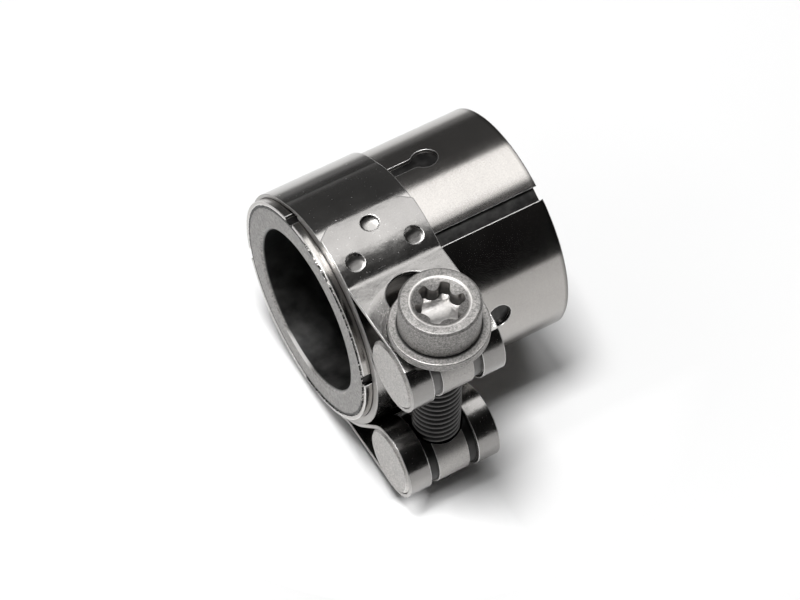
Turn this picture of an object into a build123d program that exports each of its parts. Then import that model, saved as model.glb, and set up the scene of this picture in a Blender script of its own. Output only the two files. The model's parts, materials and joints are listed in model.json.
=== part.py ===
from build123d import *
import math
import os

# An exhaust sleeve clamp: a slotted steel sleeve holds a sealing sleeve round two pipe ends,
# and a folded band with two trunnions and one screw draws it tight.
# The tube runs along X, with the longer free end of the sleeve at +X.
# The screw stands along Z on the -Y side, head up. The origin is on the tube's axis, mid length.
# A gap angle is measured about the tube, from the screw's side (-Y) towards the head (+Z).

# Slotted sleeve
sleeve_length = 38.0
sleeve_radius = 19.35
sleeve_wall = 0.65
slot_count = 4
slot_pitch = 93.0
slot_width = 2.3
slot_reach = 25.0
slot_hole_radius = 2.2
slot_neck_radius = 1.5
keyhole_angle = 11.5
plain_slot_angle = 61.5

# Sealing sleeve and its jacket
seal_wall = 4.3
seal_setback = 0.35
seal_mouth_chamfer = 0.5
jacket_wall = 0.15
jacket_setback = 0.1

# Band, folded at both ends
band_width = 16.8
band_thickness = 0.6
sleeve_overhang = 1.4
layer_gap = 0.05
loop_clearance = 0.7
fold_bend_radius = 1.5
tab_span = 27.4
tab_corner_side = 2.25
tab_corner_length = 1.75
back_blend_radius = 8.0

# Cut-out of the fold, which lets the screw and the trunnion's collar through
cutout_width = 8.9
cutout_reach = 12.0

# Round dimples that fix the fold
dimple_radius = 1.6
dimple_floor_radius = 1.1
dimple_depth = 0.4
dimple_spacing = 10.6
dimple_pair_inset = 7.4
dimple_single_inset = 2.5

# Bridge under the gap
bridge_thickness = 1.3
bridge_tip_thickness = 0.5
bridge_taper_lead = 7.0
bridge_overrun = 16.0

# Trunnions
trunnion_radius = 5.75
trunnion_proud = 0.3
trunnion_chamfer = 0.45
collar_rise = 0.4
collar_width = 5.6
head_hole_clearance = 0.5
thread_clearance = 0.05
thread_entry_rise = 0.6
thread_entry_depth = 1.4

# Screw and washer
bolt_radius = 4.0
bolt_length = 40.0
bolt_tip_chamfer = 0.8
bolt_back_clearance = 0.25
head_radius = 6.5
head_height = 5.8
head_edge_chamfer = 0.4
head_foot_chamfer = 0.3
socket_lobes = 6
socket_turn = 17.4
socket_lobe_radius = 3.965
socket_waist_radius = 2.82
socket_flute_radius = 1.25
socket_lobe_fillet = 0.4
socket_depth = 3.6
socket_mouth_radius = 4.65
socket_cone_depth = 1.5
washer_radius = 8.0
washer_edge_chamfer = 0.2
washer_bore_clearance = 0.2
washer_thickness = 1.6

# How far a cutting shape passes the edge that it cuts
cut_margin = 1.0

os.makedirs("parts", exist_ok=True)

# Places worked out from the sizes above
sleeve_left = -sleeve_length / 2
band_left = sleeve_left + sleeve_overhang
band_middle = band_left + band_width / 2
seal_length = sleeve_length - seal_setback
seal_radius = sleeve_radius - sleeve_wall - jacket_wall
seal_bore_radius = seal_radius - seal_wall

back_radius = sleeve_radius + layer_gap + band_thickness / 2
bridge_inner = sleeve_radius + layer_gap
bridge_outer = bridge_inner + bridge_thickness
hoop_radius = bridge_outer + layer_gap + band_thickness / 2
tab_radius = hoop_radius + band_thickness + layer_gap
loop_radius = trunnion_radius + layer_gap + band_thickness / 2
fold_top = loop_radius + band_thickness / 2

# The screw clears the bridge, and the loops clear the hoop: together they place the trunnions.
bolt_y = -(bridge_outer + bolt_back_clearance + bolt_radius)
trunnion_distance = hoop_radius + loop_radius + loop_clearance
trunnion_z = math.sqrt(trunnion_distance**2 - bolt_y**2)
trunnion_angle = math.degrees(math.atan2(trunnion_z, -bolt_y))
thread_radius = bolt_radius + thread_clearance
washer_z = trunnion_z + fold_top
head_z = washer_z + washer_thickness


def point_at(angle, radius, centre=(0, 0)):
    """The point at a gap angle and radius about a centre, as (y, z)."""
    turn = math.radians(angle)
    return (centre[0] - radius * math.cos(turn), centre[1] + radius * math.sin(turn))


def gap_angle(point, centre=(0, 0)):
    """The gap angle of a point about a centre."""
    return math.degrees(math.atan2(point[1] - centre[1], centre[0] - point[0]))


def gap_arc(centre, radius, start, end):
    """An arc about a centre from one gap angle to another."""
    return CenterArc(centre, radius, 180 - start, start - end)


def bend_arc(centre, radius, start, end):
    """The same, taken the short way round."""
    return gap_arc(centre, radius, start, start + (end - start + 180) % 360 - 180)


def place_on_tube(angle, x, radius):
    """A plane on the tube at a gap angle, facing outwards, with its X along the tube."""
    y, z = point_at(angle, radius)
    outward = point_at(angle, 1)
    return Plane(origin=(x, y, z), x_dir=(1, 0, 0), z_dir=(0, outward[0], outward[1]))


# The fold lies flat at the loop's top and bends on to the tube, so the bend's place follows.
fold_z = trunnion_z + loop_radius
bend_centre_radius = tab_radius + fold_bend_radius
bend_centre_z = fold_z + fold_bend_radius
bend_angle = math.degrees(math.asin(bend_centre_z / bend_centre_radius))
bend_centre = point_at(bend_angle, bend_centre_radius)

# Past the bend the bridge keeps its thickness for a while and then tapers along a smaller arc.
taper_angle = bend_angle + bridge_taper_lead
tab_end_angle = bend_angle + tab_span
bridge_end_angle = tab_end_angle + bridge_overrun
bridge_tip_radius = bridge_inner + bridge_tip_thickness
taper_turn = math.radians(bridge_end_angle - taper_angle)
taper_shift = (bridge_outer**2 - bridge_tip_radius**2) / (
    2 * (bridge_outer - bridge_tip_radius * math.cos(taper_turn))
)
taper_centre = point_at(taper_angle, taper_shift)
bridge_tip = point_at(bridge_end_angle, bridge_tip_radius)
bridge_tip_turn = gap_angle(bridge_tip, taper_centre)

# The band comes down from the bridge's tip to the sleeve through a gentle hollow bend.
blend_reach = back_radius + back_blend_radius
blend_far = hoop_radius - taper_shift + back_blend_radius
blend_turn = math.acos(
    (blend_reach**2 + taper_shift**2 - blend_far**2) / (2 * blend_reach * taper_shift)
)
blend_angle = taper_angle + math.degrees(blend_turn)
blend_centre = point_at(blend_angle, blend_reach)
blend_taper_turn = gap_angle(blend_centre, taper_centre)

# Where the band leaves the hoop in a straight run and meets the loop round the trunnion.
trunnion_centre = (bolt_y, trunnion_z)
cross_turn = math.degrees(math.acos((hoop_radius + loop_radius) / trunnion_distance))
leave_angle = trunnion_angle + cross_turn
loop_start = leave_angle + 180
loop_end = 360 + 90


def tube_along_x(outer, inner, left, length):
    """A plain tube about the X axis, added to the part in hand."""
    with BuildSketch(Plane.YZ.offset(left)) as ring:
        Circle(outer)
        Circle(inner, mode=Mode.SUBTRACT)
    extrude(ring.sketch, amount=length)


def cut_sleeve_slot(angle, end_x, inwards):
    """A slot through one wall of the sleeve, from an end to its round hole."""
    with BuildSketch(place_on_tube(angle, end_x, 0)) as keyhole:
        with Locations((inwards * slot_reach / 2, 0)):
            Rectangle(slot_reach, slot_width)
        with Locations((inwards * slot_reach, 0)):
            Circle(slot_hole_radius)
        inner_corners = keyhole.vertices().filter_by(lambda corner: abs(corner.X) > slot_reach / 2)
        fillet(inner_corners.filter_by(lambda corner: abs(corner.Y) > slot_width / 4), slot_neck_radius)
    extrude(keyhole.sketch, amount=sleeve_radius + sleeve_wall, mode=Mode.SUBTRACT)


with BuildPart() as slotted_sleeve:
    tube_along_x(sleeve_radius, sleeve_radius - sleeve_wall, sleeve_left, sleeve_length)
    # The slots are punched in the flat sheet, so the space over the rolled sheet's seam is narrower
    for index in range(slot_count):
        turn = (index - 1) * slot_pitch
        cut_sleeve_slot(keyhole_angle + turn, sleeve_left, 1)
        cut_sleeve_slot(plain_slot_angle + turn, sleeve_left + sleeve_length, -1)

slotted_sleeve.part.label = "slotted_sleeve"
export_step(slotted_sleeve.part, "parts/slotted_sleeve.step")


with BuildPart() as seal_sleeve:
    tube_along_x(seal_radius, seal_bore_radius, sleeve_left, seal_length)
    mouths = seal_sleeve.edges().filter_by(GeomType.CIRCLE)
    mouths = mouths.filter_by(lambda edge: edge.radius < seal_radius - seal_wall / 2)
    chamfer(mouths, seal_mouth_chamfer)

seal_sleeve.part.label = "seal_sleeve"
export_step(seal_sleeve.part, "parts/seal_sleeve.step")


with BuildPart() as seal_jacket:
    jacket_left = sleeve_left + jacket_setback
    jacket_length = seal_length - 2 * jacket_setback
    tube_along_x(seal_radius + jacket_wall, seal_radius, jacket_left, jacket_length)

seal_jacket.part.label = "seal_jacket"
export_step(seal_jacket.part, "parts/seal_jacket.step")


with BuildPart() as gap_bridge:
    with BuildSketch(Plane.YZ.offset(band_left)):
        with BuildLine():
            gap_arc((0, 0), bridge_outer, 0, taper_angle)
            gap_arc(taper_centre, bridge_outer - taper_shift, taper_angle, bridge_tip_turn)
            Line(bridge_tip, point_at(bridge_end_angle, bridge_inner))
            gap_arc((0, 0), bridge_inner, bridge_end_angle, 0)
            Line(point_at(0, bridge_inner), point_at(0, bridge_outer))
        make_face()
        mirror(about=Plane.XZ)
    extrude(amount=band_width)

gap_bridge.part.label = "gap_bridge"
export_step(gap_bridge.part, "parts/gap_bridge.step")


def tab_end_plane():
    """A plane at the middle of the fold's end, facing outwards, with its X along the tube."""
    end_turn = gap_angle(point_at(tab_end_angle, tab_radius), taper_centre)
    y, z = point_at(end_turn, tab_radius - taper_shift, taper_centre)
    out_y, out_z = point_at(end_turn, 1)
    return Plane(origin=(band_middle, y, z), x_dir=(1, 0, 0), z_dir=(0, out_y, out_z))


def cut_tab_corner(side):
    """One slanted corner of the fold's end."""
    edge = side * band_width / 2
    with BuildSketch(tab_end_plane()) as corner:
        with BuildLine():
            Polyline(
                (edge - side * tab_corner_side, 0),
                (edge, -tab_corner_length),
                (edge + side * cut_margin, -tab_corner_length),
                (edge + side * cut_margin, cut_margin),
                (edge - side * tab_corner_side, cut_margin),
                close=True,
            )
        make_face()
    extrude(corner.sketch, amount=band_thickness, both=True, mode=Mode.SUBTRACT)


def distance_to_tab_face(angle):
    """How far the fold's outer face lies from the tube's axis at a gap angle."""
    if angle < taper_angle:
        return tab_radius + band_thickness / 2
    turn = math.radians(angle - taper_angle)
    face_radius = tab_radius + band_thickness / 2 - taper_shift
    across = taper_shift * math.sin(turn)
    return taper_shift * math.cos(turn) + math.sqrt(face_radius**2 - across**2)


def press_dimple(inset, x):
    """A round dimple with a flat floor, at a distance along the band from the fold's end."""
    angle = tab_end_angle - math.degrees(inset / (tab_radius + band_thickness / 2))
    flare = (dimple_radius - dimple_floor_radius) / dimple_depth
    height = dimple_depth + cut_margin
    with Locations(place_on_tube(angle, x, distance_to_tab_face(angle) - dimple_depth)):
        Cone(
            dimple_floor_radius,
            dimple_floor_radius + flare * height,
            height,
            align=(Align.CENTER, Align.CENTER, Align.MIN),
            mode=Mode.SUBTRACT,
        )


with BuildPart() as clamp_band:
    # The fold's free layer: flat over the trunnion, then bent on to the tube
    with BuildSketch(Plane.YZ.offset(band_left)):
        with BuildLine() as tab_line:
            Line((bolt_y, fold_z), (bend_centre[0], fold_z))
            bend_arc(bend_centre, fold_bend_radius, 270, bend_angle + 180)
            gap_arc((0, 0), tab_radius, bend_angle, taper_angle)
            tab_end_turn = gap_angle(point_at(tab_end_angle, tab_radius), taper_centre)
            gap_arc(taper_centre, tab_radius - taper_shift, taper_angle, tab_end_turn)
        trace(line_width=band_thickness)
    extrude(amount=band_width)
    for side in (-1, 1):
        cut_tab_corner(side)
        press_dimple(dimple_pair_inset, band_middle + side * dimple_spacing / 2)
    press_dimple(dimple_single_inset, band_middle)

    # The hoop from the back of the tube, over the bridge, across to the trunnion and round it
    with BuildSketch(Plane.YZ.offset(band_left)):
        with BuildLine():
            gap_arc((0, 0), back_radius, 180, blend_angle)
            bend_arc(blend_centre, back_blend_radius, blend_angle + 180, blend_taper_turn + 180)
            gap_arc(taper_centre, hoop_radius - taper_shift, blend_taper_turn, taper_angle)
            gap_arc((0, 0), hoop_radius, taper_angle, leave_angle)
            Line(point_at(leave_angle, hoop_radius), point_at(loop_start, loop_radius, trunnion_centre))
            gap_arc(trunnion_centre, loop_radius, loop_start, loop_end)
        trace(line_width=band_thickness)
    extrude(amount=band_width)

    # The cut-out: round the trunnion, and along the flat to a round end
    with BuildSketch(Plane.YZ.offset(band_middle - cutout_width / 2)):
        with Locations(trunnion_centre):
            Circle(fold_top + layer_gap)
    extrude(amount=cutout_width, mode=Mode.SUBTRACT)
    with BuildSketch(Plane.XY.offset(fold_z - band_thickness)):
        with Locations((band_middle, bolt_y + cutout_reach - cutout_width / 2)):
            Circle(cutout_width / 2)
        flat_reach = cutout_reach - cutout_width / 2
        with Locations((band_middle, bolt_y + flat_reach / 2)):
            Rectangle(cutout_width, flat_reach)
    extrude(amount=2 * band_thickness, mode=Mode.SUBTRACT)

    mirror(about=Plane.XY)

clamp_band.part.label = "clamp_band"
export_step(clamp_band.part, "parts/clamp_band.step")


def add_trunnion(z):
    """A round cross bar with a collar in its middle, along X at the screw."""
    half_length = band_width / 2 + trunnion_proud
    collar_radius = trunnion_radius + collar_rise
    with BuildSketch(Plane((band_middle, bolt_y, z))) as section:
        with BuildLine():
            Polyline(
                (0, 0),
                (half_length, 0),
                (half_length, trunnion_radius - trunnion_chamfer),
                (half_length - trunnion_chamfer, trunnion_radius),
                (collar_width / 2, trunnion_radius),
                (collar_width / 2, collar_radius),
                (0, collar_radius),
                close=True,
            )
        make_face()
        mirror(about=Plane.YZ)
    revolve(section.sketch, axis=Axis((band_middle, bolt_y, z), (1, 0, 0)))


with BuildPart() as head_trunnion:
    add_trunnion(trunnion_z)
    with Locations((band_middle, bolt_y, trunnion_z)):
        Hole(bolt_radius + head_hole_clearance)

head_trunnion.part.label = "head_trunnion"
export_step(head_trunnion.part, "parts/head_trunnion.step")


with BuildPart() as nut_trunnion:
    add_trunnion(-trunnion_z)
    entry_z = -trunnion_z + trunnion_radius + collar_rise - thread_entry_depth
    with Locations((band_middle, bolt_y, entry_z)):
        Hole(thread_radius)
        Cone(
            thread_radius,
            thread_radius + thread_entry_rise,
            thread_entry_depth,
            align=(Align.CENTER, Align.CENTER, Align.MIN),
            mode=Mode.SUBTRACT,
        )

nut_trunnion.part.label = "nut_trunnion"
export_step(nut_trunnion.part, "parts/nut_trunnion.step")


with BuildPart() as bolt_washer:
    with BuildSketch(Plane((band_middle, bolt_y, washer_z))):
        Circle(washer_radius)
        Circle(bolt_radius + washer_bore_clearance, mode=Mode.SUBTRACT)
    extrude(amount=washer_thickness)
    outer_rims = bolt_washer.edges().filter_by(GeomType.CIRCLE).sort_by(SortBy.RADIUS)[-2:]
    chamfer(outer_rims, washer_edge_chamfer)

bolt_washer.part.label = "bolt_washer"
export_step(bolt_washer.part, "parts/bolt_washer.step")


with BuildPart() as clamp_bolt:
    axis_at_seat = Plane(origin=(band_middle, bolt_y, head_z), x_dir=(1, 0, 0), z_dir=(0, -1, 0))
    bolt_axis = Axis((band_middle, bolt_y, head_z), (0, 0, 1))
    # Head and shank turned in one piece, with a conical mouth to the socket
    with BuildSketch(axis_at_seat):
        with BuildLine():
            Polyline(
                (0, head_height - socket_cone_depth),
                (0, -bolt_length),
                (bolt_radius - bolt_tip_chamfer, -bolt_length),
                (bolt_radius, bolt_tip_chamfer - bolt_length),
                (bolt_radius, 0),
                (head_radius - head_foot_chamfer, 0),
                (head_radius, head_foot_chamfer),
                (head_radius, head_height - head_edge_chamfer),
                (head_radius - head_edge_chamfer, head_height),
                (socket_mouth_radius, head_height),
                close=True,
            )
        make_face()
    revolve(axis=bolt_axis)
    # Six-lobed socket: a round hole with six flutes standing into it
    flute_centre = socket_waist_radius + socket_flute_radius
    with BuildSketch(Plane((band_middle, bolt_y, head_z + head_height))) as socket:
        Circle(socket_lobe_radius)
        with PolarLocations(flute_centre, socket_lobes, start_angle=socket_turn):
            Circle(socket_flute_radius, mode=Mode.SUBTRACT)
        fillet(socket.vertices(), socket_lobe_fillet)
    extrude(amount=-socket_depth, mode=Mode.SUBTRACT)

clamp_bolt.part.label = "clamp_bolt"
export_step(clamp_bolt.part, "parts/clamp_bolt.step")
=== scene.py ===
import json
import math

import bmesh
import bpy
from mathutils import Matrix, Vector
from mathutils.kdtree import KDTree

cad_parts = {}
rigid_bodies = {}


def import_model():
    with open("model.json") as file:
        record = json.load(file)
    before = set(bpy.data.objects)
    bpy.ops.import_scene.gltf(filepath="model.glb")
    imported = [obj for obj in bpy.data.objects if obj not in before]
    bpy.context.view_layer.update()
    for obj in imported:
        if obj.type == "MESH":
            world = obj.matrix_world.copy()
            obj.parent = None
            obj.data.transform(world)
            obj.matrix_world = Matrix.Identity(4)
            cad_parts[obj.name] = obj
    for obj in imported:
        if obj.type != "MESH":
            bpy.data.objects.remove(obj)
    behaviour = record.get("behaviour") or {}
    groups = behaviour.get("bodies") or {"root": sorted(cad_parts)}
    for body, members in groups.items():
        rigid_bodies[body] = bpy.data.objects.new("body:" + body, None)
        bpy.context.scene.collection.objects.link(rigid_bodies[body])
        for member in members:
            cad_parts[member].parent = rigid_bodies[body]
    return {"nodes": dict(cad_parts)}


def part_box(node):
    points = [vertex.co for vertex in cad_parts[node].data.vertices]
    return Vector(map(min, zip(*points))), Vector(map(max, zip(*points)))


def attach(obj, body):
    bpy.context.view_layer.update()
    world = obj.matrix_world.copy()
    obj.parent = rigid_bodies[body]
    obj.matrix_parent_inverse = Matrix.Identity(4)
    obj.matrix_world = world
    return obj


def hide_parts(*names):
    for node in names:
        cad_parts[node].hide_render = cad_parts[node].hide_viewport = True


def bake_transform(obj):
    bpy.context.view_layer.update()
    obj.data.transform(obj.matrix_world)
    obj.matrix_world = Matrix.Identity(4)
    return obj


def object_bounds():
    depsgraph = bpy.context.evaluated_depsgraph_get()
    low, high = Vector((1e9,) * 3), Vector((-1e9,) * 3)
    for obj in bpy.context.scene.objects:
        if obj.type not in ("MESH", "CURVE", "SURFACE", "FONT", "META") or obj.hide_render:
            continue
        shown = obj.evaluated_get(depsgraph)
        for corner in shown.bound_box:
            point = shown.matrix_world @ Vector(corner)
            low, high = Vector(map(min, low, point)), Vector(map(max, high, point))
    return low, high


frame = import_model()
cad_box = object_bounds()

mm = 0.001

# Places read from the frame
bolt_low, bolt_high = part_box("clamp_bolt")
washer_low, washer_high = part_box("bolt_washer")
band_low, band_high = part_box("clamp_band")
bridge_low, bridge_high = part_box("gap_bridge")
sleeve_low, sleeve_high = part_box("slotted_sleeve")
nut_low, nut_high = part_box("nut_trunnion")
seal_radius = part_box("seal_sleeve")[1].z
bolt_x = (bolt_low.x + bolt_high.x) / 2
bolt_y = (bolt_low.y + bolt_high.y) / 2
head_seat = washer_high.z
floor_z = min(cad_box[0].z, band_low.z)

# How close points of a mesh are taken to be the same place, and surfaces to face the same way
seam_gap = 0.0005 * mm
thread_gap = 0.001 * mm
cut_gap = 0.0001 * mm
place_gap = 0.002 * mm
same_facing = 0.8

# Screw
thread_pitch = 1.25 * mm
thread_radius = 3.99 * mm
thread_root = 3.3 * mm
thread_flat = 1 / 8 * thread_pitch
thread_flank = 5 / 16 * thread_pitch
thread_top = washer_low.z - 1.0 * mm
thread_steps = 72
thread_spare_turns = 2
tip_chamfer = 0.8 * mm
neck_radius = 3.9 * mm
neck_low = thread_top - 0.1 * mm
neck_high = head_seat + 0.45 * mm
neck_sides = 96
neck_end_inset = 0.35 * mm
neck_end_drop = 0.3 * mm
head_cut = head_seat + 0.001 * mm
head_radius = 6.5 * mm
head_edge_radius = 0.16 * mm
socket_mouth_radius = 4.65 * mm
socket_mouth_depth = 0.7 * mm
socket_cone_extra = 0.25
socket_reach = 4.1 * mm
socket_floor_depth = 3.0 * mm

# Band, cut where the fold's free layer hides the joint
cut_angle = math.radians(61.5)
layer_joint = 21.375 * mm

# Dimples in the upper fold, each by its place along the tube, its turn round it and its floor's distance
dimple_spacing = 10.6 * mm
dimples = (
    (bolt_x - dimple_spacing / 2, math.radians(66.23), 21.617 * mm),
    (bolt_x + dimple_spacing / 2, math.radians(66.23), 21.617 * mm),
    (bolt_x, math.radians(78.99), 21.498 * mm),
)
dimple_radius = 1.6 * mm
dimple_floor_radius = 1.1 * mm
dimple_depth = 0.4 * mm

# Bowl in each dimple, in rings that are each a share of the last one and lie lower by a drop
bowl_rings = ((0.55, 0.13 * mm), (0.25, 0.04 * mm))
bowl_floor_play = 0.05 * mm
bowl_rim_slope = 0.9
bowl_rim_depth = 0.1 * mm
bowl_wall_depth = 0.3 * mm
bowl_lowest = 0.59 * mm

# Foil lip round the seal
lip_radius = seal_radius + 0.07 * mm
lip_steps = 540
lip_height = 0.28 * mm
lip_root = 0.12 * mm
lip_tears = 0.11 * mm
lip_thickness = 0.05 * mm
lip_front_limit = sleeve_low.x - 0.2 * mm
lip_back_limit = sleeve_low.x + 0.03 * mm

# Floor and lamps
floor_radius = 6.0
floor_sides = 96
floor_drop = 0.02 * mm
lamp_distance = 0.75

# Camera, fitted to the photograph
camera_azimuth = math.radians(-31.619)
camera_elevation = math.radians(54.551)
camera_roll = math.radians(1.115)
camera_distance = 530.04 * mm
camera_aim_right = -0.988 * mm
camera_aim_up = -5.991 * mm
camera_lens = 146.14

# How widely the finishes round and brighten a sheet's sharp edges
sheet_rounding = 0.26 * mm
sheet_wear = 0.32 * mm

# Places that the finishes follow, counted in millimetres
screw_x = bolt_x / mm
screw_y = bolt_y / mm
head_top = bolt_high.z / mm
head_foot = head_seat / mm
tab_top = washer_low.z / mm
washer_reach = (washer_high.x - washer_low.x) / 2 / mm
dish_reach = 11.6
dish_depth = 1.2
crease_y = -11.5
crease_low = 17.5
crease_reach = 7.8
free_layer = layer_joint / mm + 0.045
sleeve_radius = sleeve_high.y / mm
sleeve_right = sleeve_high.x / mm
seal_wall = 4.3
seal_bore = seal_radius / mm - seal_wall
seal_crack = seal_radius / mm - 0.47
bar_radius = (nut_high.z - nut_low.z) / 2 / mm
bar_reach = (nut_high.x - nut_low.x) / 2 / mm
bar_height = -(nut_high.z + nut_low.z) / 2 / mm
groove_reach = 5.2


# Modelling helpers


def pick_only(piece):
    """Makes a piece the only one selected."""
    bpy.ops.object.select_all(action="DESELECT")
    piece.select_set(True)
    bpy.context.view_layer.objects.active = piece


def open_mesh(piece):
    """Opens a piece for editing with nothing selected, and gives its editable mesh."""
    pick_only(piece)
    bpy.ops.object.mode_set(mode="EDIT")
    bpy.ops.mesh.select_all(action="DESELECT")
    return bmesh.from_edit_mesh(piece.data)


def close_mesh():
    """Leaves edit mode."""
    bpy.ops.object.mode_set(mode="OBJECT")


def select_faces(piece, mesh, wanted):
    """Selects the faces whose middle passes a test."""
    bpy.ops.mesh.select_mode(type="FACE")
    for face in mesh.faces:
        face.select_set(wanted(face.calc_center_median()))
    bmesh.update_edit_mesh(piece.data)


def select_edges(piece, mesh, wanted):
    """Selects the edges whose two ends both pass a test."""
    bpy.ops.mesh.select_mode(type="EDGE")
    for edge in mesh.edges:
        edge.select_set(all(wanted(vertex.co) for vertex in edge.verts))
    bmesh.update_edit_mesh(piece.data)


def weld(piece, gap):
    """Merges the points of a piece that lie no further apart than a gap."""
    open_mesh(piece)
    bpy.ops.mesh.select_all(action="SELECT")
    bpy.ops.mesh.remove_doubles(threshold=gap)
    close_mesh()


def copy_node(node, name):
    """A loose copy of a CAD node's mesh, with its seams merged."""
    piece = bpy.data.objects.new(name, frame["nodes"][node].data.copy())
    piece.data.name = name
    piece.data.materials.clear()
    bpy.context.scene.collection.objects.link(piece)
    weld(piece, seam_gap)
    return piece


def apply_modifier(piece, kind, name, **settings):
    """Adds a modifier, sets it and applies it."""
    modifier = piece.modifiers.new(name, kind)
    for key, value in settings.items():
        setattr(modifier, key, value)
    pick_only(piece)
    bpy.ops.object.modifier_apply(modifier=name)


def move_mesh(piece, offset):
    """Moves a piece's mesh, with its object left at the origin."""
    piece.data.transform(Matrix.Translation(Vector(offset)))


def smooth(piece, degrees):
    """Shades a piece smooth, with edges sharper than an angle kept."""
    pick_only(piece)
    bpy.ops.object.shade_smooth_by_angle(angle=math.radians(degrees))


def cut_across(piece, level, keep_above):
    """Cuts a piece at a height, closes the cut and drops one side."""
    open_mesh(piece)
    bpy.ops.mesh.select_all(action="SELECT")
    bpy.ops.mesh.bisect(
        plane_co=(0, 0, level), plane_no=(0, 0, 1), use_fill=True,
        clear_inner=keep_above, clear_outer=not keep_above, threshold=cut_gap,
    )
    close_mesh()


def dress(piece, *finishes):
    """Gives a piece its finishes, in the order that its faces number them."""
    piece.data.materials.clear()
    for finish in finishes:
        piece.data.materials.append(finish)


# Screw


def thread_profile():
    """One turn of the thread in section, drawn point by point beside the Z axis."""
    bpy.ops.object.select_all(action="DESELECT")
    bpy.ops.mesh.primitive_plane_add(size=0.1 * mm, location=(0, 0, 0))
    profile = bpy.context.object
    profile.name = "screw_thread"
    open_mesh(profile)
    bpy.ops.mesh.select_all(action="SELECT")
    bpy.ops.mesh.merge(type="CENTER")
    bpy.ops.transform.translate(value=(thread_root, 0, 0))
    crest = thread_radius - thread_root
    flat = (0, thread_flat)
    for outwards, rise in (flat, (crest, thread_flank), flat, (-crest, thread_flank), flat):
        bpy.ops.mesh.extrude_region_move(TRANSFORM_OT_translate={"value": (outwards, 0, rise)})
    close_mesh()
    return profile


def threaded_shank():
    """A right-hand thread from the screw's tip to just under the washer."""
    shank = thread_profile()
    turns = math.ceil((thread_top - bolt_low.z) / thread_pitch) + thread_spare_turns
    apply_modifier(
        shank, "SCREW", "thread",
        axis="Z", angle=math.tau, screw_offset=thread_pitch, iterations=turns,
        steps=thread_steps, render_steps=thread_steps, use_merge_vertices=True, merge_threshold=thread_gap,
    )
    weld(shank, thread_gap)
    move_mesh(shank, (0, 0, bolt_low.z - thread_pitch))
    cut_across(shank, bolt_low.z, keep_above=True)
    cut_across(shank, thread_top, keep_above=False)
    chamfer_tip(shank)
    return shank


def chamfer_tip(shank):
    """Draws the thread in to a cone at the screw's tip."""
    mesh = open_mesh(shank)
    for vertex in mesh.verts:
        reach = math.hypot(vertex.co.x, vertex.co.y)
        above_tip = max(vertex.co.z - bolt_low.z, 0)
        most = thread_radius - tip_chamfer + above_tip
        if above_tip < tip_chamfer and reach > most:
            vertex.co.x *= most / reach
            vertex.co.y *= most / reach
    bmesh.update_edit_mesh(shank.data)
    bpy.ops.mesh.select_all(action="SELECT")
    bpy.ops.mesh.normals_make_consistent(inside=False)
    close_mesh()


def plain_neck():
    """The plain part of the shank, from the thread's end up into the head."""
    bpy.ops.object.select_all(action="DESELECT")
    bpy.ops.mesh.primitive_cylinder_add(
        vertices=neck_sides, radius=neck_radius, depth=neck_high - neck_low, end_fill_type="NGON",
        location=(0, 0, (neck_low + neck_high) / 2),
    )
    neck = bpy.context.object
    bpy.ops.object.transform_apply(location=True, rotation=True, scale=True)
    mesh = open_mesh(neck)
    select_faces(neck, mesh, lambda middle: middle.z < thread_top)
    bpy.ops.mesh.inset(thickness=neck_end_inset)
    bpy.ops.transform.translate(value=(0, 0, -neck_end_drop))
    close_mesh()
    return neck


def screw_head():
    """The head with its six-lobed socket, from the solid, with its edges rounded."""
    head = copy_node("clamp_bolt", "screw_head")
    cut_across(head, head_cut, keep_above=True)
    open_mesh(head)
    bpy.ops.mesh.select_all(action="SELECT")
    bpy.ops.mesh.dissolve_limited(angle_limit=math.radians(0.5))
    mesh = bmesh.from_edit_mesh(head.data)
    for vertex in mesh.verts:
        reach = math.hypot(vertex.co.x - bolt_x, vertex.co.y - bolt_y)
        below = bolt_high.z - vertex.co.z
        if reach < socket_mouth_radius and below < socket_mouth_depth:
            vertex.co.z -= socket_cone_extra * (socket_mouth_radius - reach)
    bmesh.update_edit_mesh(head.data)
    close_mesh()
    apply_modifier(
        head, "BEVEL", "edges",
        width=head_edge_radius, segments=3, limit_method="ANGLE", angle_limit=math.radians(28),
        use_clamp_overlap=True, harden_normals=False,
    )
    return head


def screw_finish(face):
    """The number of a face's finish: 0 for the coating, 1 for the thread and 2 for the socket."""
    if face.center.z < head_seat:
        return 1
    reach = math.hypot(face.center.x - bolt_x, face.center.y - bolt_y)
    upright = abs(face.normal.z) < 0.5
    deep = face.center.z < bolt_high.z - socket_floor_depth
    return 2 if reach < socket_reach and (upright or deep) else 0


def make_screw():
    """Head, neck and threaded shank in one piece."""
    shank = threaded_shank()
    neck = plain_neck()
    for part in (shank, neck):
        move_mesh(part, (bolt_x, bolt_y, 0))
    head = screw_head()
    pick_only(head)
    neck.select_set(True)
    shank.select_set(True)
    bpy.ops.object.join()
    head.name = "socket_screw"
    smooth(head, 32)
    dress(head, zinc_flake(), thread_steel(), socket_steel())
    for face in head.data.polygons:
        face.material_index = screw_finish(face)
    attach(head, "bolt")
    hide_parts("clamp_bolt")


# Band


def dimple_axis(along, turn, floor_level):
    """A dimple's middle on the band's face, and the way it faces."""
    outward = Vector((0, -math.cos(turn), math.sin(turn)))
    return Vector((along, 0, 0)) + outward * (floor_level + dimple_depth), outward


def place_in_dimple(place, top, outward):
    """How deep a place lies below a dimple's mouth, and the way to it from the dimple's middle."""
    offset = place - top
    height = offset.dot(outward)
    return -height, offset - outward * height


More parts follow.
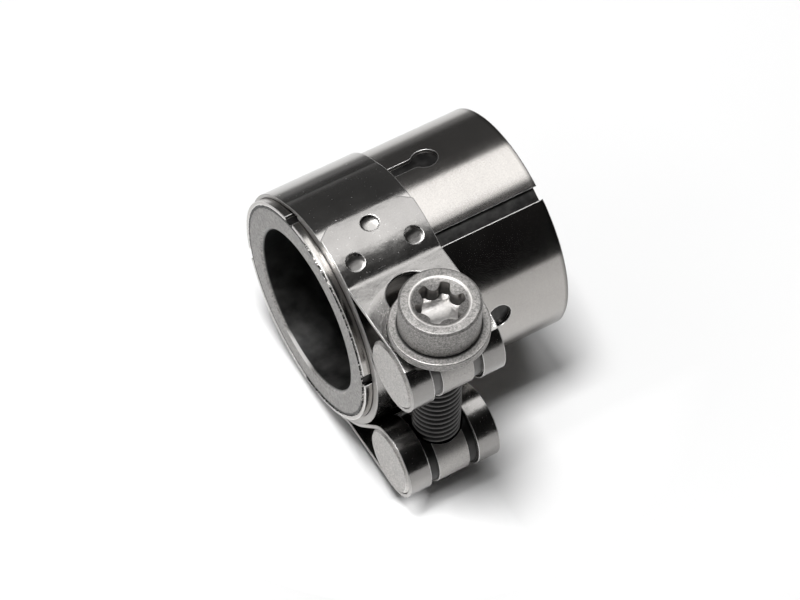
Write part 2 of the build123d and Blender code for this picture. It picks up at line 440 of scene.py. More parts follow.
def bowl_direction(face, place):
    """The surface direction at a place inside a dimple, as in a round bowl, or nothing outside them."""
    for dimple in dimples:
        top, outward = dimple_axis(*dimple)
        depth, aside = place_in_dimple(face.center, top, outward)
        facing = face.normal.dot(outward)
        inside = aside.length < dimple_radius and bowl_rim_depth < depth < bowl_lowest
        pressed = depth > bowl_wall_depth or facing < 0.95
        if inside and pressed and facing > 0.5:
            spoke = place_in_dimple(place, top, outward)[1]
            slope = bowl_rim_slope * (spoke.length / dimple_radius) ** 5
            return (outward - spoke.normalized() * slope).normalized()
    return None


def press_bowls(band):
    """Presses each dimple's flat floor down to a round bowl."""
    for dimple in dimples:
        top, outward = dimple_axis(*dimple)
        mesh = open_mesh(band)
        bpy.ops.mesh.select_mode(type="FACE")
        for face in mesh.faces:
            depth, aside = place_in_dimple(face.calc_center_median(), top, outward)
            on_floor = aside.length < dimple_floor_radius and abs(depth - dimple_depth) < bowl_floor_play
            face.select_set(on_floor and face.normal.dot(outward) > 0.99)
        bmesh.update_edit_mesh(band.data)
        bpy.ops.mesh.dissolve_faces()
        middle = top - outward * dimple_depth
        for share, drop in bowl_rings:
            bpy.ops.mesh.extrude_region_move()
            bpy.ops.transform.resize(value=(share, share, share), center_override=middle)
            bpy.ops.transform.translate(value=outward * -drop)
            middle = middle - outward * drop
        close_mesh()


def cut_hoop(band):
    """Cuts the hoop through low on the screw's side, and leaves the free layer over the cut whole."""
    mesh = open_mesh(band)
    select_faces(band, mesh, lambda middle: middle.z < 0)
    outward = Vector((0, -math.cos(cut_angle), -math.sin(cut_angle)))
    across = Vector((0, -math.sin(cut_angle), math.cos(cut_angle)))
    bpy.ops.mesh.bisect(plane_co=(0, 0, 0), plane_no=across, threshold=cut_gap)
    mesh = bmesh.from_edit_mesh(band.data)

    def on_hoop_cut(place):
        return abs(place.dot(across)) < place_gap and 0 < place.dot(outward) < layer_joint

    select_edges(band, mesh, on_hoop_cut)
    bpy.ops.mesh.edge_split(type="EDGE")
    close_mesh()


def loose_halves(band):
    """The two loose halves of the cut band as pieces, the lower one first."""
    before = set(bpy.data.objects)
    open_mesh(band)
    bpy.ops.mesh.separate(type="LOOSE")
    close_mesh()
    halves = [band] + [made for made in bpy.data.objects if made not in before]
    return sorted(halves, key=lambda half: max(vertex.co.z for vertex in half.data.vertices))


def close_cut(half):
    """Closes the open end that the cut left."""
    open_mesh(half)
    bpy.ops.mesh.select_mode(type="EDGE")
    bpy.ops.mesh.select_non_manifold(
        extend=False, use_wire=False, use_boundary=True, use_multi_face=False,
        use_non_contiguous=False, use_verts=False,
    )
    bpy.ops.mesh.edge_face_add()
    close_mesh()


def take_normals(half):
    """Gives half of the band the solid's own exact surface directions, and round ones in the dimples."""
    source = frame["nodes"]["clamp_band"].data
    corners = KDTree(len(source.loops))
    facing = [None] * len(source.loops)
    for face in source.polygons:
        for corner in face.loop_indices:
            corners.insert(source.vertices[source.loops[corner].vertex_index].co, corner)
            facing[corner] = face.normal.copy()
    corners.balance()
    mesh = half.data
    directions = [None] * len(mesh.loops)
    for face in mesh.polygons:
        face.use_smooth = True
        for corner in face.loop_indices:
            place = mesh.vertices[mesh.loops[corner].vertex_index].co
            found = corners.find_range(place, place_gap)
            near = [(facing[index].dot(face.normal), index) for _, index, _ in found]
            closeness, index = max(near, default=(0, -1))
            direction = source.corner_normals[index].vector if closeness > same_facing else face.normal
            directions[corner] = bowl_direction(face, place) or direction
    mesh.normals_split_custom_set(directions)


def make_band():
    """The band in two pieces: the upper one rides on the clamp, and the lower fold is left where it lies."""
    band = copy_node("clamp_band", "upper_band")
    press_bowls(band)
    cut_hoop(band)
    lower, upper = loose_halves(band)
    upper.name = "upper_band"
    lower.name = "lower_fold"
    for half in (lower, upper):
        close_cut(half)
        smooth(half, 28)
        take_normals(half)
        dress(half, band_steel(), pressed_steel_and_shade())
        for face in half.data.polygons:
            face.material_index = 0 if bowl_direction(face, face.center) is None else 1
    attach(upper, "clamp")
    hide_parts("clamp_band")
    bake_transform(lower)
    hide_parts("clamp_band")


# Foil lip


def make_foil_lip():
    """The jacket's torn edge, which stands a little out of the crack between seal and sleeve."""
    bpy.ops.object.select_all(action="DESELECT")
    bpy.ops.mesh.primitive_circle_add(
        vertices=lip_steps, radius=lip_radius, fill_type="NOTHING",
        location=(sleeve_low.x + lip_root, 0, 0), rotation=(0, math.radians(90), 0),
    )
    lip = bpy.context.object
    lip.name = "foil_lip"
    bpy.ops.object.transform_apply(location=True, rotation=True, scale=True)
    open_mesh(lip)
    bpy.ops.mesh.select_all(action="SELECT")
    bpy.ops.mesh.extrude_region_move(TRANSFORM_OT_translate={"value": (-lip_height, 0, 0)})
    bpy.ops.transform.vertex_random(offset=lip_tears, uniform=0.4, seed=7)
    close_mesh()
    limit_lip(lip)
    apply_modifier(lip, "SOLIDIFY", "foil", thickness=lip_thickness, offset=0)
    smooth(lip, 40)
    dress(lip, torn_foil())
    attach(lip, "clamp")


def limit_lip(lip):
    """Lets the torn edge stand a little past the sleeve's end on the screw's side, and not on the other."""
    for vertex in lip.data.vertices:
        limit = lip_front_limit if vertex.co.y < 0 else lip_back_limit
        vertex.co.x = max(vertex.co.x, limit)


# Material helpers


def start_material(name):
    """A new node material and its main shader."""
    material = bpy.data.materials.new(name)
    material.use_nodes = True
    tree = material.node_tree
    return material, tree, tree.nodes["Principled BSDF"]


def add(tree, kind, settings=None, inputs=None):
    """Adds a node, sets it, and links or sets its inputs."""
    made = tree.nodes.new(kind)
    for key, value in (settings or {}).items():
        setattr(made, key, value)
    for key, value in (inputs or {}).items():
        if isinstance(value, bpy.types.NodeSocket):
            tree.links.new(value, made.inputs[key])
        else:
            made.inputs[key].default_value = value
    return made


def combine(tree, operation, first, second):
    """Two values joined by arithmetic."""
    return add(tree, "ShaderNodeMath", {"operation": operation}, {0: first, 1: second}).outputs[0]


def plus(tree, first, second):
    """One value and another."""
    return combine(tree, "ADD", first, second)


def minus(tree, first, second):
    """One value less another."""
    return combine(tree, "SUBTRACT", first, second)


def times(tree, first, second):
    """One value times another."""
    return combine(tree, "MULTIPLY", first, second)


def size_of(tree, value):
    """How large a value is, whatever its sign."""
    return add(tree, "ShaderNodeMath", {"operation": "ABSOLUTE"}, {0: value}).outputs[0]


def gap_to(tree, value, level):
    """How far a value lies from a level, to either side of it."""
    return size_of(tree, minus(tree, value, level))


def spread(tree, value, low, high, to_low=0.0, to_high=1.0):
    """Stretches part of a value's range to another range."""
    made = add(
        tree, "ShaderNodeMapRange", {"clamp": True},
        {"Value": value, "From Min": low, "From Max": high, "To Min": to_low, "To Max": to_high},
    )
    return made.outputs["Result"]


def millimetres(tree):
    """The surface's own place, counted in millimetres."""
    place = add(tree, "ShaderNodeTexCoord").outputs["Object"]
    made = add(tree, "ShaderNodeVectorMath", {"operation": "SCALE"}, {0: place, "Scale": 1 / mm})
    return made.outputs["Vector"]


def stretch(tree, place, scales):
    """A place stretched by its own amount along each direction."""
    made = add(tree, "ShaderNodeVectorMath", {"operation": "MULTIPLY"}, {0: place, 1: scales})
    return made.outputs["Vector"]


def parts_of(tree, place):
    """How far a place lies along X, Y and Z."""
    parts = add(tree, "ShaderNodeSeparateXYZ", None, {0: place}).outputs
    return parts["X"], parts["Y"], parts["Z"]


def length_of(tree, way):
    """How long a way is."""
    return add(tree, "ShaderNodeVectorMath", {"operation": "LENGTH"}, {0: way}).outputs["Value"]


def slant(tree, first, second):
    """How far it is to a place that lies off by two values at right angles."""
    way = add(tree, "ShaderNodeCombineXYZ", None, {"X": first, "Y": second})
    return length_of(tree, way.outputs[0])


def distance_from_tube(tree, place):
    """How far a place lies from the tube's axis."""
    _, y, z = parts_of(tree, place)
    return slant(tree, y, z)


def distance_from_screw(tree, place):
    """How far a place lies from the screw's axis."""
    x, y, _ = parts_of(tree, place)
    return slant(tree, minus(tree, x, screw_x), minus(tree, y, screw_y))


def noise(tree, place, scale, detail=4.0, roughness=0.55):
    """A noise value."""
    made = add(
        tree, "ShaderNodeTexNoise", None,
        {"Vector": place, "Scale": scale, "Detail": detail, "Roughness": roughness},
    )
    return made.outputs["Fac"]


def grey(value, warmth=0.0):
    """A grey with a little warmth, as a colour."""
    return (value * (1 + warmth), value, value * (1 - warmth), 1.0)


def mix_colours(tree, factor, first, second):
    """One colour going over to another."""
    return add(tree, "ShaderNodeMix", {"data_type": "RGBA"}, {0: factor, 6: first, 7: second}).outputs[2]


def lay_over(tree, body, mask, share, tone):
    """A colour with a tone laid over it where a mask is one, as thickly as a share says."""
    return mix_colours(tree, times(tree, mask, share), body, tone)


def rounded_normal(tree, radius):
    """The surface's direction with its sharp edges rounded."""
    return add(tree, "ShaderNodeBevel", {"samples": 6}, {"Radius": radius}).outputs["Normal"]


def edge_mask(tree, radius):
    """One along sharp edges, which the finishes paint bright: partly edge wear, partly painted highlight."""
    rounded = rounded_normal(tree, radius)
    plain = add(tree, "ShaderNodeNewGeometry").outputs["Normal"]
    agreement = add(tree, "ShaderNodeVectorMath", {"operation": "DOT_PRODUCT"}, {0: rounded, 1: plain})
    return spread(tree, agreement.outputs["Value"], 0.99, 0.84)


def bump(tree, height, strength, distance, normal=None):
    """A surface relief, on top of another direction if one is given."""
    inputs = {"Height": height, "Strength": strength, "Distance": distance}
    if normal is not None:
        inputs["Normal"] = normal
    return add(tree, "ShaderNodeBump", None, inputs).outputs["Normal"]


def taken(shader, name):
    """What a socket of the shader takes so far."""
    return shader.inputs[name].links[0].from_socket


def set_shader(tree, shader, colour, roughness, normal, metallic):
    """Joins the finished colour, roughness and relief to the shader."""
    tree.links.new(colour, shader.inputs["Base Color"])
    tree.links.new(roughness, shader.inputs["Roughness"])
    tree.links.new(normal, shader.inputs["Normal"])
    shader.inputs["Metallic"].default_value = metallic


# Finishes of the rolled sheet


def rolled_steel(name, tones, roughness, lines_share, specks_share, scratches_share, rounding=None):
    """Cold-rolled stainless sheet: rolling lines, cloudy patches, specks, scratches, and edges painted
    bright, partly as wear and partly as painted highlight.
    """
    material, tree, shader = start_material(name)
    place = millimetres(tree)
    lines = noise(tree, stretch(tree, place, (7.0, 0.25, 0.25)), 1.0, 4.0)
    clouds = noise(tree, place, 0.18, 3.0)
    fine = noise(tree, place, 4.0, 5.0, 0.8)
    specks = spread(tree, noise(tree, place, 2.6, 2.0), 0.70, 0.75)
    specks = times(tree, specks, specks_share)
    scratches = spread(tree, noise(tree, stretch(tree, place, (0.5, 3.5, 3.5)), 1.3, 2.0), 0.70, 0.74)
    scratches = times(tree, scratches, scratches_share)
    edges = edge_mask(tree, sheet_wear)
    body = mix_colours(tree, spread(tree, clouds, 0.3, 0.7), *tones)
    body = mix_colours(tree, spread(tree, lines, 0.3, 0.7, 0.0, lines_share), body, grey(0.3, 0.03))
    body = mix_colours(tree, spread(tree, fine, 0.35, 0.65, 0.0, 0.3), body, grey(0.22, 0.03))
    body = mix_colours(tree, specks, body, grey(0.75))
    body = mix_colours(tree, scratches, body, grey(0.7))
    # Sharp edges painted bright: partly edge wear, partly painted highlight.
    body = lay_over(tree, body, edges, 0.9, grey(0.9, 0.01))
    rough = spread(tree, plus(tree, clouds, fine), 0.7, 1.3, *roughness)
    rough = plus(tree, rough, times(tree, plus(tree, specks, scratches), 0.35))
    rough = plus(tree, rough, times(tree, edges, 0.3))
    radius = rounding(tree, place) if rounding else sheet_rounding
    normal = bump(tree, fine, 0.08, 0.02 * mm, rounded_normal(tree, radius))
    normal = bump(tree, lines, lines_share * 0.5, 0.02 * mm, normal)
    set_shader(tree, shader, body, rough, normal, 1.0)
    return material, tree, shader


def sheared_ends(tree, low, high):
    """One on the sheared ends of a sheet that reaches from one place to another along the tube."""
    x, _, _ = parts_of(tree, millimetres(tree))
    beside = gap_to(tree, x, (low + high) / 2 / mm)
    half = (high - low) / 2 / mm
    return spread(tree, beside, half - 0.05, half - 0.02)


def dull_ends(tree, shader, ends):
    """Makes a sheet's sheared ends duller."""
    body = lay_over(tree, taken(shader, "Base Color"), ends, 0.75, grey(0.42, 0.03))
    rough = plus(tree, taken(shader, "Roughness"), times(tree, ends, 0.22))
    tree.links.new(body, shader.inputs["Base Color"])
    tree.links.new(rough, shader.inputs["Roughness"])


def sleeve_steel():
    """The sleeve's satin sheet, with painted shade beside the band and darker towards its right end."""
    tones = (grey(0.42, 0.045), grey(0.46, 0.045))
    material, tree, shader = rolled_steel(
        "sleeve_steel", tones, roughness=(0.14, 0.20), lines_share=0.12, specks_share=0.15,
        scratches_share=0.05,
    )
    place = millimetres(tree)
    x, _, _ = parts_of(tree, place)
    from_band = gap_to(tree, x, (band_low.x + band_high.x) / 2 / mm)
    half = (band_high.x - band_low.x) / 2 / mm
    # Painted shade on the sleeve's outside, in a narrow strip beside each edge of the band.
    painted_shade = times(tree, spread(tree, from_band, half + 0.22, half + 0.05), 0.9)
    outside = spread(tree, distance_from_tube(tree, place), sleeve_radius - 0.15, sleeve_radius - 0.05)
    painted_shade = times(tree, painted_shade, outside)
    # Darker towards the right end, over its last 0.7 mm.
    end_darkening = spread(tree, x, sleeve_right - 0.7, sleeve_right - 0.1, 0.0, 0.6)
    # The painted shade and the darkening at the right end together.
    painted_shade = combine(tree, "MAXIMUM", painted_shade, end_darkening)
    body = mix_colours(tree, painted_shade, taken(shader, "Base Color"), grey(0.03, 0.02))
    tree.links.new(body, shader.inputs["Base Color"])
    return material


def band_steel():
    """The band's strip: bright on the hoop, and duller and a little uneven where it was bent and pressed."""
    tones = (grey(0.40, 0.03), grey(0.48, 0.03))
    material, tree, shader = rolled_steel(
        "band_steel", tones, roughness=(0.10, 0.17), lines_share=0.02, specks_share=0.6, scratches_share=0.3,
        rounding=soft_crease,
    )
    place = millimetres(tree)
    worked = spread(tree, distance_from_tube(tree, place), free_layer, free_layer + 0.08)
    waves = noise(tree, place, 0.22, 3.0, 0.45)
    relief = times(tree, waves, spread(tree, worked, 0.0, 1.0, 0.1, 1.0))
    normal = bump(tree, relief, 1.0, 0.14 * mm, taken(shader, "Normal"))
    normal = bump(tree, dish_round_screw(tree, place), 1.0, 1.0 * mm, normal)
    dulled = times(tree, worked, minus(tree, 1.0, edge_mask(tree, sheet_wear)))
    body = lay_over(tree, taken(shader, "Base Color"), dulled, 0.65, grey(0.2, 0.03))
    rough = plus(tree, taken(shader, "Roughness"), times(tree, worked, 0.08))
    set_shader(tree, shader, body, rough, normal, 1.0)
    dull_ends(tree, shader, sheared_ends(tree, band_low.x, band_high.x))
    return material


def dish_round_screw(tree, place):
    """The band's flat in millimetres of height, which the screw draws down a little round its washer."""
    _, _, z = parts_of(tree, place)
    above = spread(tree, z, tab_top - 1.2, tab_top - 0.1)
    below = spread(tree, z, tab_top + 0.4, tab_top + 0.1)
    flat = times(tree, above, below)
    slope = spread(tree, distance_from_screw(tree, place), dish_reach, washer_reach - 0.1)
    sink = times(tree, combine(tree, "POWER", slope, 1.3), flat)
    speckle = times(tree, noise(tree, place, 3.0, 5.0, 0.7), 0.12)
    return times(tree, minus(tree, times(tree, speckle, sink), sink), dish_depth)


def soft_crease(tree, place):
    """How widely the band's edges are rounded, in metres: most in the crease where the tab turns flat."""
    x, y, z = parts_of(tree, place)
    near = spread(tree, gap_to(tree, y, crease_y), 1.6, 0.6)
    near = times(tree, near, spread(tree, z, crease_low, crease_low + 0.5))
    near = times(tree, near, spread(tree, gap_to(tree, x, screw_x), crease_reach, crease_reach - 1.2))
    return spread(tree, near, 0.0, 1.0, sheet_rounding, 1.1 * mm)


def pressed_steel_and_shade():
    """The band's steel inside the dimples: duller from the press, and painted darker as shade in the hollows.
    """
    tones = (grey(0.22, 0.03), grey(0.30, 0.03))
    return rolled_steel(
        "pressed_steel_and_shade", tones, roughness=(0.30, 0.40), lines_share=0.0, specks_share=0.6, scratches_share=0.3
    )[0]


def bridge_steel():
    """The bridge's strip."""
    tones = (grey(0.34, 0.03), grey(0.42, 0.03))
    material, tree, shader = rolled_steel(
        "bridge_steel", tones, roughness=(0.20, 0.30), lines_share=0.1, specks_share=0.3, scratches_share=0.2
    )
    dull_ends(tree, shader, sheared_ends(tree, bridge_low.x, bridge_high.x))
    return material


# Finishes of the seal and its foil


def jacket_foil():
    """The jacket's thin foil, coloured near black."""
    material, tree, shader = start_material("jacket_foil")
    place = millimetres(tree)
    stains = noise(tree, place, 0.5, 4.0)
    crinkle = noise(tree, place, 1.3, 3.0)
    body = mix_colours(tree, spread(tree, stains, 0.35, 0.7), grey(0.035, 0.01), grey(0.08, 0.02))
    rough = spread(tree, crinkle, 0.3, 0.7, 0.38, 0.5)
    normal = bump(tree, crinkle, 0.08, 0.05 * mm)
    set_shader(tree, shader, body, rough, normal, 1.0)
    return material


def torn_foil():
    """The foil's torn edge, crinkled with bright crests."""
    material, tree, shader = start_material("torn_foil")
    crinkle = noise(tree, millimetres(tree), 1.6, 5.0, 0.65)
    body = mix_colours(tree, spread(tree, crinkle, 0.53, 0.58), grey(0.02, 0.02), grey(0.9, 0.02))
    rough = spread(tree, crinkle, 0.3, 0.7, 0.45, 0.25)
    normal = bump(tree, crinkle, 0.8, 0.15 * mm)
    set_shader(tree, shader, body, rough, normal, 1.0)
    return material


def pressed_seal():
    """Pressed graphite and mica: pale, grainy and speckled on the ends, near black in the bore with painted
    light low down, and a painted highlight on the chamfer at the bore's lower front edge.
    """
    material, tree, shader = start_material("pressed_seal")
    place = millimetres(tree)
    _, y, z = parts_of(tree, place)
    radius = distance_from_tube(tree, place)
    grit = noise(tree, place, 2.2, 8.0, 0.85)
    blots = noise(tree, place, 0.7, 4.0, 0.6)
    ends = seal_ends(tree, place, radius, grit, blots)
    inside = spread(tree, radius, seal_bore + 0.25, seal_bore + 0.05)
    body = mix_colours(tree, inside, ends, bore_soot_and_painted_light(tree, place, z))
    # Painted highlight on the chamfer at the bore's lower front edge.
    bore_glint = times(
        tree, spread(tree, radius, seal_bore + 0.7, seal_bore + 0.5),
        spread(tree, radius, seal_bore, seal_bore + 0.1),
    )
    bore_glint = times(tree, bore_glint, spread(tree, y, -2.0, 0.0))
    bore_glint = times(tree, bore_glint, spread(tree, z, 1.25 - seal_bore, 0.45 - seal_bore))
    body = lay_over(tree, body, bore_glint, 0.8, grey(0.85, 0.02))
    rough = spread(tree, grit, 0.3, 0.7, 0.42, 0.62)
    chamfer = spread(tree, radius, seal_bore + 0.6, seal_bore + 0.45)
    rough = minus(tree, rough, times(tree, chamfer, 0.15))
    normal = bump(tree, plus(tree, grit, blots), 0.35, 0.07 * mm, rounded_normal(tree, 0.08 * mm))
    set_shader(tree, shader, body, rough, normal, 0.25)
    return material


def seal_ends(tree, place, radius, grit, blots):
    """The colour of the seal's end faces, with a ragged dark ring towards the jacket that is painted shade in
    the gap there.
    """
    ragged = spread(tree, noise(tree, place, 1.5, 4.0, 0.6), 0.3, 0.7, -0.15, 0.15)
    # Painted shade in the gap between the seal's face and the jacket.
    crack = spread(tree, plus(tree, radius, ragged), seal_crack, seal_crack + 0.12)
    pits = spread(tree, noise(tree, place, 4.5, 3.0), 0.62, 0.70)
    body = mix_colours(tree, spread(tree, grit, 0.38, 0.62), grey(0.14, 0.03), grey(0.47, 0.035))
    body = mix_colours(tree, spread(tree, blots, 0.45, 0.7, 0.0, 0.6), body, grey(0.22, 0.03))
    body = lay_over(tree, body, pits, 0.75, grey(0.07))
    return lay_over(tree, body, crack, 0.9, grey(0.03))


def bore_soot_and_painted_light(tree, place, z):
    """The colour of the seal's bore: blotchy, with painted shade keeping it black above and painted light
    making it a little paler below.
    """
    # Painted light and shade: paler towards the bottom of the bore, black at the top.
    painted_light_below = spread(tree, z, 1.0, -13.0)
    soot = mix_colours(tree, painted_light_below, grey(0.002), grey(0.015, 0.01))
    smeared = mix_colours(tree, painted_light_below, grey(0.010), grey(0.075, 0.02))
    return mix_colours(tree, spread(tree, noise(tree, place, 0.3, 3.0, 0.5), 0.36, 0.7), soot, smeared)


# Finishes of the trunnions, screw and washer


def trunnion_steel():
    """Turned bar: pale speckled ends with edges painted bright, partly as wear and partly as painted
    highlight, and painted shade in the grooves beside the collar.
    """
    material, tree, shader = start_material("trunnion_steel")
    place = millimetres(tree)
    x, y, z = parts_of(tree, place)
    radius = slant(tree, minus(tree, y, screw_y), minus(tree, size_of(tree, z), bar_height))
    beside = gap_to(tree, x, screw_x)
    groove = times(
        tree, spread(tree, radius, bar_radius + 0.25, bar_radius + 0.1),
        spread(tree, beside, groove_reach, groove_reach - 0.6),
    )
    grit = noise(tree, place, 3.5, 8.0, 0.85)
    clouds = noise(tree, place, 0.4, 3.0)
    pits = spread(tree, noise(tree, place, 3.6, 3.0), 0.62, 0.7)
    coarse = spread(tree, beside, bar_reach - 0.5, bar_reach - 0.2, 0.35, 1.0)
    grain = minus(tree, spread(tree, grit, 0.40, 0.60), 0.5)
    grain = plus(tree, times(tree, grain, coarse), 0.5)
    body = mix_colours(tree, grain, grey(0.18, 0.03), grey(0.57, 0.04))
    body = mix_colours(tree, spread(tree, clouds, 0.4, 0.7, 0.0, 0.35), body, grey(0.36, 0.02))
    body = lay_over(tree, body, pits, 0.5, grey(0.15, 0.01))
    body = lay_over(tree, body, edge_mask(tree, 0.22 * mm), 0.8, grey(0.82, 0.01))
    # Painted shade in the grooves, deeper on the lower trunnion than on the upper one.
    painted_shade = mix_colours(tree, spread(tree, z, -2.0, 2.0), grey(0.025, 0.01), grey(0.13, 0.02))
    body = lay_over(tree, body, groove, 0.95, painted_shade)
    rough = spread(tree, grit, 0.3, 0.7, 0.32, 0.48)
    normal = bump(tree, grit, 0.22, 0.04 * mm, rounded_normal(tree, 0.2 * mm))
    set_shader(tree, shader, body, rough, normal, 0.9)
    return material


def zinc_flake():
    """Matt, grainy zinc-flake coating, with rims painted bright, partly as wear and partly as painted
    highlight, a painted highlight round the socket's rim, and painted contact shade where the head sits on
    the washer.
    """
    material, tree, shader = start_material("zinc_flake")
    place = millimetres(tree)
    _, _, z = parts_of(tree, place)
    reach = distance_from_screw(tree, place)
    sand = noise(tree, place, 3.0, 8.0, 0.9)
    clouds = noise(tree, place, 0.5, 4.0)
    dirt = spread(tree, noise(tree, place, 1.7, 4.0, 0.65), 0.60, 0.72)
    # Painted highlight round the rim of the socket.
    near_mouth = spread(tree, gap_to(tree, reach, socket_mouth_radius / mm), 0.3, 0.1)
    mouth_highlight = times(tree, near_mouth, spread(tree, z, head_top - 0.4, head_top - 0.1, 0.0, 0.6))
    edges = combine(tree, "MAXIMUM", edge_mask(tree, 0.28 * mm), mouth_highlight)
    # Painted contact shade where the head's foot meets the washer.
    near_foot = spread(tree, gap_to(tree, reach, head_radius / mm - 0.1), 0.5, 0.25)
    contact_shade = times(tree, near_foot, spread(tree, gap_to(tree, z, head_foot), 0.36, 0.14))
    body = mix_colours(tree, spread(tree, sand, 0.42, 0.58), grey(0.10, 0.02), grey(0.47, 0.04))
    body = mix_colours(tree, spread(tree, clouds, 0.35, 0.7, 0.0, 0.35), body, grey(0.24, 0.01))
    body = lay_over(tree, body, dirt, 0.4, grey(0.10, 0.02))
    body = lay_over(tree, body, edges, 0.9, grey(0.88, 0.03))
    body = lay_over(tree, body, contact_shade, 0.92, grey(0.015, 0.02))
    rough = minus(tree, spread(tree, sand, 0.3, 0.7, 0.46, 0.62), times(tree, edges, 0.2))
    normal = bump(tree, sand, 0.45, 0.06 * mm, rounded_normal(tree, 0.2 * mm))
    set_shader(tree, shader, body, rough, normal, 0.8)
    return material


def socket_steel():
    """The socket's pressed walls and floor, smoother than the coating outside, with edges painted bright as
    wear and as painted highlight, and painted shade down the walls.
    """
    material, tree, shader = start_material("socket_steel")
    place = millimetres(tree)
    _, _, z = parts_of(tree, place)
    streaks = noise(tree, stretch(tree, place, (2.5, 2.5, 0.6)), 1.0, 4.0)
    stains = noise(tree, place, 0.6, 4.0)
    body = mix_colours(tree, spread(tree, streaks, 0.3, 0.7), grey(0.42, 0.03), grey(0.56, 0.03))
    body = mix_colours(tree, spread(tree, stains, 0.5, 0.75, 0.0, 0.35), body, grey(0.2, 0.02))
    body = lay_over(tree, body, edge_mask(tree, 0.12 * mm), 0.8, grey(0.8, 0.02))
    # Painted shade down the walls, stopping short of the floor.
    wall_shade = spread(tree, z, head_top - 0.95, head_top - 2.0)
    floor = spread(tree, z, head_top - 3.45, head_top - 3.6)
    body = lay_over(tree, body, minus(tree, wall_shade, floor), 0.7, grey(0.05, 0.02))
    rough = spread(tree, streaks, 0.3, 0.7, 0.28, 0.38)
    normal = bump(tree, streaks, 0.06, 0.04 * mm)
    set_shader(tree, shader, body, rough, normal, 1.0)
    return material


def thread_steel():
    """The thread's dark coating, with crests painted paler, partly as wear and partly as painted highlight.
    """
    material, tree, shader = start_material("thread_steel")
    place = millimetres(tree)
    radius = distance_from_screw(tree, place)
    crest = spread(tree, radius, thread_radius / mm - 0.21, thread_radius / mm - 0.03)
    sand = noise(tree, place, 6.0, 4.0, 0.7)
    body = mix_colours(tree, spread(tree, sand, 0.3, 0.7), grey(0.010, 0.01), grey(0.03, 0.01))
    # Crests painted paler: partly wear, partly painted highlight.
    body = lay_over(tree, body, crest, 0.65, grey(0.22, 0.02))
    rough = spread(tree, sand, 0.3, 0.7, 0.3, 0.45)
    normal = bump(tree, sand, 0.2, 0.03 * mm)
    set_shader(tree, shader, body, rough, normal, 0.95)
    return material


def dress_solids():
    """Gives each solid its own finish, also the two that new pieces replace."""
    finishes = {
        "slotted_sleeve": sleeve_steel,
        "seal_sleeve": pressed_seal,
        "seal_jacket": jacket_foil,
        "gap_bridge": bridge_steel,
        "head_trunnion": trunnion_steel,
        "nut_trunnion": trunnion_steel,
        "bolt_washer": zinc_flake,
        "clamp_band": band_steel,
        "clamp_bolt": zinc_flake,
    }
    for name, make_finish in finishes.items():
        dress(frame["nodes"][name], make_finish())


# Studio


def floor_glow(tree, place):
    """How strongly the floor glows, as painted light: a little all round and more far out, and in front of
    the part and at its left, where it lightens the shadow and cuts it short.
    """
    x, y, _ = parts_of(tree, place)
    away = length_of(tree, place)
    near = spread(tree, away, 28.0, 70.0, 0.0, 0.05)
    far = spread(tree, away, 140.0, 900.0, 0.0, 0.8)
    far = times(tree, far, spread(tree, y, 100.0, -100.0))
    front = spread(tree, y, -28.4, -31.6)
    front = times(tree, front, spread(tree, x, -2.0, -18.0, 0.05, 0.8))
    corner = spread(tree, y, -26.2, -28.8, 0.0, 0.7)
    corner = times(tree, corner, spread(tree, x, -12.0, -16.0))
    left = spread(tree, x, -16.5, -19.5, 0.0, 0.25)
    beside = plus(tree, combine(tree, "MAXIMUM", front, corner), left)
    beside = times(tree, beside, spread(tree, away, 52.0, 38.0))
    return plus(tree, plus(tree, near, far), beside)


def make_floor():
    """A wide pale floor that glows a little, with a deeper tone behind the part for its reflections."""
    bpy.ops.object.select_all(action="DESELECT")
    bpy.ops.mesh.primitive_circle_add(
        vertices=floor_sides, radius=floor_radius, fill_type="NGON", location=(0, 0, floor_z - floor_drop)
    )
    floor = bpy.context.object
    floor.name = "studio_floor"
    material, tree, shader = start_material("studio_floor")
    place = millimetres(tree)
    _, y, _ = parts_of(tree, place)
    tone = mix_colours(tree, spread(tree, y, 98.0, 158.0), grey(0.82), grey(0.17))
    shader.inputs["Roughness"].default_value = 0.9
    shader.inputs["Emission Color"].default_value = (1, 1, 1, 1)
    tree.links.new(tone, shader.inputs["Base Color"])
    tree.links.new(floor_glow(tree, place), shader.inputs["Emission Strength"])
    dress(floor, material)


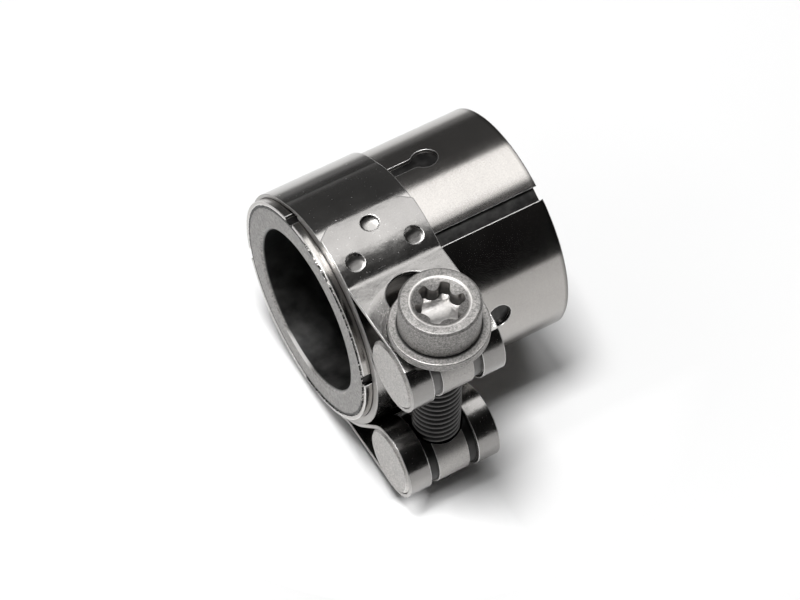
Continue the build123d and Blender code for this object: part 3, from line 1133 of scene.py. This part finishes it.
def make_softbox(name, direction, width, depth, power):
    """A soft area lamp that faces the part."""
    lamp_data = bpy.data.lights.new(name, "AREA")
    lamp_data.shape = "RECTANGLE"
    lamp_data.size = width
    lamp_data.size_y = depth
    lamp_data.energy = power
    lamp = bpy.data.objects.new(name, lamp_data)
    bpy.context.scene.collection.objects.link(lamp)
    way = Vector(direction).normalized()
    up = way.cross(Vector((1, 0, 0))).normalized()
    side = up.cross(way)
    turn = Matrix((side, up, way)).transposed().to_4x4()
    lamp.matrix_world = Matrix.Translation(way * lamp_distance) @ turn


def make_world():
    """Dim grey surroundings, darkest in front of the part and a little lighter behind it."""
    world = bpy.data.worlds.new("studio")
    bpy.context.scene.world = world
    world.use_nodes = True
    tree = world.node_tree
    _, backwards, _ = parts_of(tree, add(tree, "ShaderNodeTexCoord").outputs["Generated"])
    level = spread(tree, backwards, -0.5, 0.8, 0.008, 0.075)
    shade = tree.nodes["Background"]
    shade.inputs["Color"].default_value = (1, 1, 1, 1)
    tree.links.new(level, shade.inputs["Strength"])


def make_camera():
    """The photograph's own viewing place."""
    azimuth, elevation, roll = camera_azimuth, camera_elevation, camera_roll
    back = Vector((
        math.sin(azimuth) * math.cos(elevation),
        -math.cos(azimuth) * math.cos(elevation),
        math.sin(elevation),
    ))
    level_right = Vector((math.cos(azimuth), math.sin(azimuth), 0))
    level_up = back.cross(level_right)
    right = level_right * math.cos(roll) + level_up * math.sin(roll)
    up = level_up * math.cos(roll) - level_right * math.sin(roll)
    place = back * camera_distance + right * camera_aim_right + up * camera_aim_up
    camera_data = bpy.data.cameras.new("camera")
    camera_data.sensor_width = 36
    camera_data.lens = camera_lens
    camera_data.clip_start = 0.01
    camera_data.clip_end = 30
    camera = bpy.data.objects.new("camera", camera_data)
    bpy.context.scene.collection.objects.link(camera)
    camera.matrix_world = Matrix.Translation(place) @ Matrix((right, up, back)).transposed().to_4x4()
    bpy.context.scene.camera = camera


dress_solids()
make_screw()
make_band()
make_foil_lip()

make_floor()
make_world()
make_softbox("overhead_softbox", direction=(0.34, 0.2035, 0.918), width=0.4, depth=0.528, power=1.4)
make_softbox("key_softbox", direction=(-0.13, 0.05, 0.985), width=0.22, depth=0.22, power=5.7)
make_softbox("side_softbox", direction=(-0.92, 0.0, 0.39), width=0.35, depth=0.7, power=0.7)
make_camera()
bpy.context.scene.view_settings.view_transform = "Standard"
